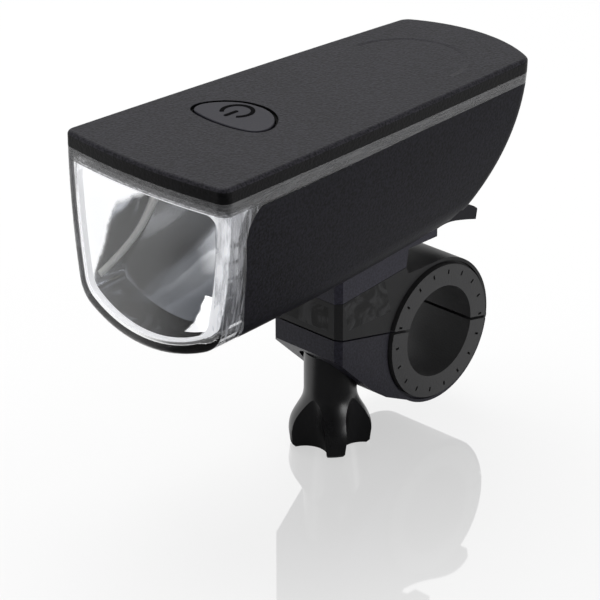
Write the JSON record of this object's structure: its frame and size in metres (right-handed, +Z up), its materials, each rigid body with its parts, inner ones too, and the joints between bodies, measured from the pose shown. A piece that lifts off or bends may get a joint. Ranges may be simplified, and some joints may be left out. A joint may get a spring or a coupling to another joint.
{
  "type": "bike headlight",
  "caption": "Boat-shaped battery headlight with a flat top, a clear front over a half-bowl reflector, and a hinged handlebar clamp with a thumb knob.",
  "frame": {"origin": "middle of the handlebar bore, on the lamp's centre plane", "axes": "+X across, along the handlebar; -Y towards the beam; +Z up"},
  "size_m": [0.0488, 0.11, 0.0879],
  "materials": {
    "cover_plastic": "fine grain",
    "shell_plastic": "fine grain",
    "clear_plastic": "clear polycarbonate",
    "bright_plating": "mirror",
    "clamp_plastic": "satin grain",
    "pad_rubber": "matt",
    "knob_plastic": "gloss",
    "steel": "plated",
    "board_green": "lacquered",
    "heat_metal": "bare",
    "chip_white": "phosphor",
    "cell_wrap": "plain sleeve",
    "tray_plastic": "moulded",
    "lead_red": "insulated wire"
  },
  "bodies": {
    "clamp_top": {"upper_jaw": "clamp_plastic", "upper_pad": "pad_rubber", "clamp_nut": "steel", "hinge_pin": "steel", "swivel_screw": "steel", "swivel_washer": "steel"},
    "clamp_bottom": {"lower_jaw": "clamp_plastic", "lower_pad": "pad_rubber"},
    "screw_seat": {"seat_washer": "steel"},
    "knob": {"thumb_knob": "knob_plastic", "clamp_screw": "steel"},
    "base": {"mount_base": "clamp_plastic", "tongue_pin": "steel"},
    "tongue": {"release_tongue": "clamp_plastic"},
    "button": {"power_button": "cover_plastic", "button_seal": "pad_rubber"},
    "lamp": {"top_cover": "cover_plastic", "tact_switch": "tray_plastic", "main_board": "board_green", "board_screws": "steel", "heat_plate": "heat_metal", "light_chip": "chip_white", "reflector": "bright_plating", "reflector_rim": "bright_plating", "clear_lens": "clear_plastic", "case_seal": "pad_rubber", "lower_shell": "shell_plastic", "case_screws": "steel", "battery_tray": "tray_plastic", "battery_cells": "cell_wrap", "contact_springs": "steel", "contact_plates": "steel", "battery_leads": "lead_red"}
  },
  "joints": [
    {"name": "screw_travel", "type": "slide", "parent": "clamp_top", "child": "screw_seat", "axis": [0, 0, -1], "range_m": [0, 0.0016]},
    {"name": "knob_turn", "type": "hinge", "parent": "screw_seat", "child": "knob", "pos_m": [0, -0.0248, 0], "axis": [0, 0, -1], "range_deg": [0, 720]},
    {"name": "jaw_open", "type": "hinge", "parent": "clamp_top", "child": "clamp_bottom", "pos_m": [0, 0.01597, -0.00174], "axis": [1, 0, 0], "range_deg": [0, 2.25]},
    {"name": "bracket_swivel", "type": "hinge", "parent": "clamp_top", "child": "base", "pos_m": [0, -0.0197, 0.01874], "axis": [0, -0.1045, 0.9945], "range_deg": [-10, 10]},
    {"name": "tongue_flex", "type": "hinge", "parent": "base", "child": "tongue", "pos_m": [0, -0.0124, 0.0211], "axis": [-1, 0, 0], "range_deg": [0, 6], "stiffness_Nm_per_rad": 1.5},
    {"name": "lamp_slide", "type": "slide", "parent": "base", "child": "lamp", "axis": [0, -1, 0], "range_m": [0, 0.041]},
    {"name": "button_press", "type": "slide", "parent": "lamp", "child": "button", "axis": [0, 0, -1], "range_m": [0, 0.0005], "stiffness_N_per_m": 2000, "springref_m": -0.0005}
  ],
  "couplings": [
    {"joint": "knob_turn", "follows": "screw_travel", "rad_per_m": 7854},
    {"joint": "jaw_open", "follows": "screw_travel", "rad_per_m": 24.525}
  ]
}
